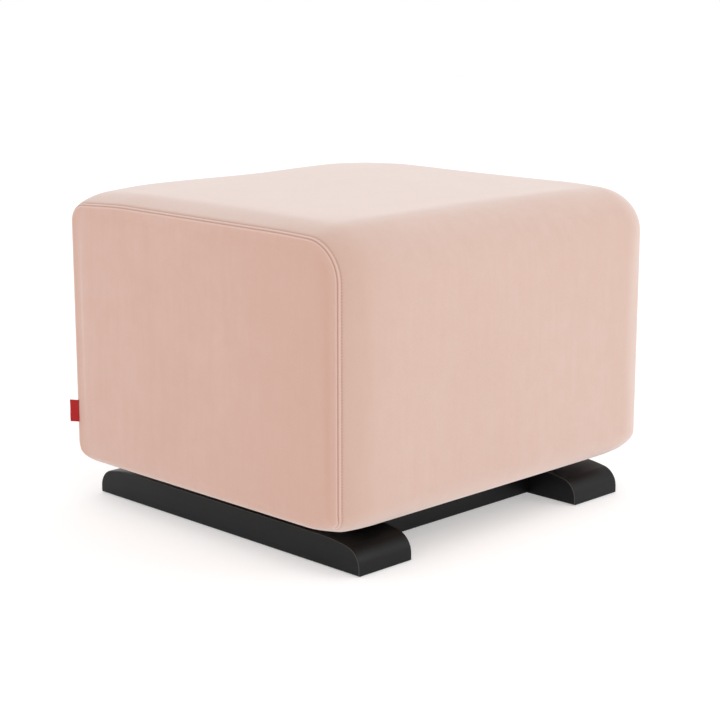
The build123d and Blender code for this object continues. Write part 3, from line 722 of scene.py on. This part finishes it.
def make_panel(side):
    """Velvet side with a rolled edge beside the seam, slightly stuffed."""
    half = CORNER_STEPS // 2
    total = 2 * (ALONG_Y + ALONG_Z)
    soft = wander(total, (9, 14, 23, 31), 11 + side)
    under = np.roll(fade_under(outline(0.0)[1]), -half)
    loops, shade = [], []
    for distance, height in PANEL_RELIEF:
        distance, height = distance * MM, height * MM
        points = np.roll(outline(0.0, distance)[0], -half, axis=0)
        fade = smooth_step(2 * MM, 8 * MM, distance)
        x = SEAM_X + height * under + PANEL_WAVE * fade * soft
        flat_loop = np.column_stack([side * x, points])
        loops.append(tuck(flat_loop))
        # Seam number: painted shade in the crease.
        crease_shade = bell(distance, 0.0, 0.4 * MM)
        # Painted highlight on the rolled edge, taken off the seam number.
        painted_highlight = bell(distance, 1.4 * MM, 0.7 * MM)
        shade.append((crease_shade - 0.45 * painted_highlight) * under)
    grid, edge = coons(flat_loop)
    grid = tuck(grid)
    rings = len(loops) - 1
    base = rings * total
    points = np.vstack(loops[:-1] + [grid])
    faces = panel_faces(rings, total, edge)
    if side < 0:
        faces = [f[::-1] for f in faces]
    obj = new_object("velvet_side_left" if side < 0 else "velvet_side_right", points, faces)
    seam = np.concatenate(shade[:-1] + [np.zeros(len(grid))])
    set_attribute(obj, "seam", seam)
    billow(obj, list(range(base)) + [base + i for i in edge], PANEL_PRESSURE, PANEL_CAP)
    thicken(obj, CLOTH_THICK)
    obj.data.materials.append(SHADED_SIDE_VELVET)
    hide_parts("left_side_panel" if side < 0 else "right_side_panel")
    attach(obj, "seat")


# ------------------------------------------------------------------ foam inside
FOAM_PADS = ("top_foam", "front_foam", "rear_foam", "left_foam", "right_foam", "bottom_padding")
FOAM_VOXEL, FOAM_SHRINK = 4 * MM, 1.0 * MM  # the thin padding takes half that voxel


def make_foam(node):
    """A cut foam pad: edges eased, pressed in where the cover pulls its corners."""
    cad = frame["nodes"][node].data
    verts = np.array([tuple(v.co) for v in cad.vertices])
    faces = [tuple(p.vertices) for p in cad.polygons]
    obj = new_object("pad_" + node, verts, faces)
    remesh = obj.modifiers.new("remesh", "REMESH")
    remesh.mode = "VOXEL"
    remesh.voxel_size = FOAM_VOXEL if node != "bottom_padding" else FOAM_VOXEL / 2
    smooth = obj.modifiers.new("ease", "SMOOTH")
    smooth.factor = 0.5
    smooth.iterations = 4
    shown = obj.evaluated_get(bpy.context.evaluated_depsgraph_get())
    eased = bpy.data.meshes.new_from_object(shown)
    obj.modifiers.clear()
    obj.data = eased
    points = np.array([tuple(v.co) for v in eased.vertices])
    normals = np.array([tuple(v.normal) for v in eased.vertices])
    points = pull_corners(points - normals * FOAM_SHRINK)
    eased.vertices.foreach_set("co", points.astype(np.float32).ravel())
    eased.update()
    eased.materials.clear()
    eased.materials.append(MATERIALS["foam"])
    eased.polygons.foreach_set("use_smooth", [True] * len(eased.polygons))
    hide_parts(node)
    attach(obj, "seat")


# ------------------------------------------------------------------ topstitching
STITCH_SIDES = 6  # points round a stitch
# Rings of a stitch: share of its length, then width and height in thread radii.
STITCH_RINGS = ((0.0, 0.35, -0.5), (0.15, 0.9, 0.0), (0.5, 1.1, 0.25), (0.85, 0.9, 0.0), (1.0, 0.35, -0.5))


def make_stitch(start, end, radius, outward):
    """One stitch of thread between two points: points and faces of a small closed form."""
    axis = end - start
    length = np.linalg.norm(axis)
    axis = axis / length
    across = np.cross(axis, outward)
    across /= np.linalg.norm(across)
    up = np.cross(across, axis)
    points, faces = [], []
    for along, wide, high in STITCH_RINGS:
        centre = start + axis * length * along + up * radius * high
        for n in range(STITCH_SIDES):
            angle = 2 * math.pi * n / STITCH_SIDES
            points.append(centre + radius * wide * (math.cos(angle) * across + math.sin(angle) * up))
    last = (len(STITCH_RINGS) - 1) * STITCH_SIDES
    for a in range(0, last, STITCH_SIDES):
        b = a + STITCH_SIDES
        for n in range(STITCH_SIDES):
            after = (n + 1) % STITCH_SIDES
            faces.append((a + n, a + after, b + after, b + n))
    faces.append(tuple(range(STITCH_SIDES))[::-1])
    faces.append(tuple(last + n for n in range(STITCH_SIDES)))
    return points, faces


def make_stitches(side):
    """Topstitches in their groove, all round one seam."""
    line = band_line(side, STITCH_IN)
    _, normals = outline(crown_at(STITCH_IN)[0])
    sewn = np.append(fade_under(normals) > 0.5, True)
    loop = np.vstack([line, line[:1]])
    outward = np.column_stack([np.full(len(normals), side * 0.6), normals])
    outward = np.vstack([outward, outward[:1]])
    steps = np.linalg.norm(np.diff(loop, axis=0), axis=1)
    along = np.concatenate([[0], np.cumsum(steps)])
    count = round(along[-1] / STITCH_PITCH)
    verts, faces = [], []
    for number in range(count):
        place = number * along[-1] / count
        if not sewn[np.searchsorted(along, place)]:
            continue
        ends = []
        for distance in (place, place + STITCH_LONG):
            distance %= along[-1]
            ends.append(np.array([np.interp(distance, along, loop[:, k]) for k in range(3)]))
        up = np.array([np.interp(place, along, outward[:, k]) for k in range(3)])
        up /= np.linalg.norm(up)
        lift = up * THREAD * 0.6
        points, quads = make_stitch(ends[0] + lift, ends[1] + lift, THREAD, up)
        base = len(verts)
        verts += points
        faces += [tuple(base + i for i in quad) for quad in quads]
    obj = new_object("topstitch_left" if side < 0 else "topstitch_right", verts, faces)
    obj.data.materials.append(THREAD_MATERIAL)
    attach(obj, "seat")


# ------------------------------------------------------------------ seam tab
TAB_THICK, TAB_GAP = 0.45 * MM, 0.55 * MM  # thickness of the webbing, and half the width of the fold
TAB_CURL = 0.35 * MM  # how far its free edge waves
TAB_SEWN = (0.5 * MM, 0.4 * MM)  # place of its sewn ends, from the corner of its box in the seam
TAB_STEPS, TAB_LEVELS = 8, 24


def make_tab():
    """Plain red tab: a strip of webbing folded over, sewn into the seam by its two ends."""
    low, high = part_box("label_tab")
    root = Vector((high.x - TAB_SEWN[0], low.y + TAB_SEWN[1], 0))
    tip = Vector((low.x, high.y, 0))
    out = (tip - root).normalized()
    across = Vector((-out.y, out.x, 0))
    length = (tip - root).length
    straight = length - TAB_GAP
    profile = []
    for n in range(TAB_STEPS + 1):  # near ply, outward
        t = n / TAB_STEPS
        opening = 0.35 + 0.65 * math.sin(math.pi * min(t * 1.2, 1) / 2)
        profile.append((t * straight, -TAB_GAP * opening))
    for n in range(1, TAB_STEPS):  # the fold
        angle = -math.pi / 2 + math.pi * n / TAB_STEPS
        profile.append((straight + TAB_GAP * math.cos(angle), TAB_GAP * math.sin(angle)))
    profile += [(a, -b) for a, b in reversed(profile[: TAB_STEPS + 1])]
    verts = []
    for row in range(TAB_LEVELS + 1):
        z = low.z + (high.z - low.z) * row / TAB_LEVELS
        curl = TAB_CURL * math.sin(2.2 * math.pi * row / TAB_LEVELS)
        for along, aside in profile:
            drift = curl * (along / length) ** 2
            point = root + out * along + across * (aside + drift)
            verts.append((point.x, point.y, z))
    obj = new_object("seam_tab", verts, grid_faces(TAB_LEVELS + 1, len(profile)))
    thicken(obj, TAB_THICK, 0)
    obj.data.materials.append(MATERIALS["red_webbing"])
    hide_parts("label_tab")
    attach(obj, "seat")


# ------------------------------------------------------------------ underside
LINING_THICK, LINING_FOLD, LINING_SAG = 0.35 * MM, 0.45 * MM, 0.175 * MM
LINING_LAP = (10 * MM, 8 * MM)  # how far its inner edge lies inside the hem
LINING_WIDTHS = (0.0, 0.04, 0.12, 0.3, 0.5, 0.7, 0.88, 0.96, 1.0)  # shares of its width, from inside
LINING_STEPS = 48  # along each of the four sides
SAG_TURN = 0.55  # phase of the sag from one step to the next


def make_dust_cover():
    """Lining cloth stapled under the hem, its edges folded in, sagging a little between staples."""
    low, high = LINING
    inner_x, inner_y = HEM_X - LINING_LAP[0], HEM_Y - LINING_LAP[1]
    corners = [(-1, -1), (1, -1), (1, 1), (-1, 1)]
    verts = []
    for index in range(4):
        sx, sy = corners[index]
        tx, ty = corners[(index + 1) % 4]
        for n in range(LINING_STEPS):
            t = n / LINING_STEPS
            for w in LINING_WIDTHS:
                x = (sx + (tx - sx) * t) * (inner_x + (high.x - inner_x) * w)
                y = (sy + (ty - sy) * t) * (inner_y + (high.y - inner_y) * w)
                along = (index * LINING_STEPS + n) * SAG_TURN
                sag = LINING_SAG * math.sin(along) * math.sin(math.pi * w)
                fold = LINING_FOLD * (2 if w in (0.0, 1.0) else 1)
                verts.append((x, y, low.z + fold + sag))
    faces = grid_faces(4 * LINING_STEPS, len(LINING_WIDTHS), wrap=True)
    obj = new_object("underside_lining", verts, faces)
    thicken(obj, LINING_THICK, 0)
    obj.data.materials.append(MATERIALS["black_lining"])
    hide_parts("dust_cover")
    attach(obj, "seat")


# ------------------------------------------------------------------ floor, light and camera
FLOOR_REACH, FLOOR_TONE, FLOOR_GLOW = 6.0, 0.75, 0.36
WORLD_LIGHT = 1.0
LIT_POINT = (0, 0, 0.2)
# The photo's view, from a fit to its edges.
CAMERA_LENS, CAMERA_SENSOR = 91.57, 36
CAMERA_PLACE = (-1.66005, -1.66435, 0.70588)
CAMERA_DOWN, CAMERA_TURN = math.radians(12.589), math.radians(-44.966)


def make_stage():
    """Plain flat floor, which glows a little so that it renders white like the background."""
    reach = FLOOR_REACH
    verts = [(-reach, -reach, 0), (reach, -reach, 0), (reach, reach, 0), (-reach, reach, 0)]
    floor = new_object("floor", verts, [(0, 1, 2, 3)], smooth=False)
    m = Nodes("floor_white")
    m.shade(Base_Color=(FLOOR_TONE, FLOOR_TONE, FLOOR_TONE, 1), Roughness=0.9, Specular_IOR_Level=0.1)
    m.shade(Emission_Color=(1, 1, 1, 1), Emission_Strength=FLOOR_GLOW)
    floor.data.materials.append(m.material)


def area_light(name, place, size, power):
    """A square soft light that faces the box."""
    data = bpy.data.lights.new(name, "AREA")
    data.shape = "SQUARE"
    data.size = size
    data.energy = power
    obj = bpy.data.objects.new(name, data)
    obj.location = place
    obj.rotation_euler = (Vector(LIT_POINT) - Vector(place)).to_track_quat("-Z", "Y").to_euler()
    bpy.context.scene.collection.objects.link(obj)


def make_lights():
    """White surroundings, a faint light overhead, and one in front on the right that shapes the box."""
    world = bpy.data.worlds.new("white")
    bpy.context.scene.world = world
    world.use_nodes = True
    background = world.node_tree.nodes["Background"]
    background.inputs["Color"].default_value = (1, 1, 1, 1)
    background.inputs["Strength"].default_value = WORLD_LIGHT
    area_light("overhead", place=(0.3, -0.2, 2.6), size=2.4, power=2)
    area_light("front_right", place=(1.6, -2.6, 1.5), size=1.6, power=14)


def make_camera():
    """Camera at the photo's viewing angle, in front on the left and looking a little down."""
    data = bpy.data.cameras.new("camera")
    data.lens = CAMERA_LENS
    data.sensor_width = CAMERA_SENSOR
    data.clip_end = 50
    obj = bpy.data.objects.new("camera", data)
    obj.location = CAMERA_PLACE
    obj.rotation_euler = (math.pi / 2 - CAMERA_DOWN, 0, CAMERA_TURN)
    bpy.context.scene.collection.objects.link(obj)
    bpy.context.scene.camera = obj


make_band()
for which in (-1, 1):
    make_panel(which)
    make_stitches(which)
for pad in FOAM_PADS:
    make_foam(pad)
make_tab()
make_dust_cover()
make_stage()
make_lights()
make_camera()
bpy.context.scene.view_settings.view_transform = "Standard"
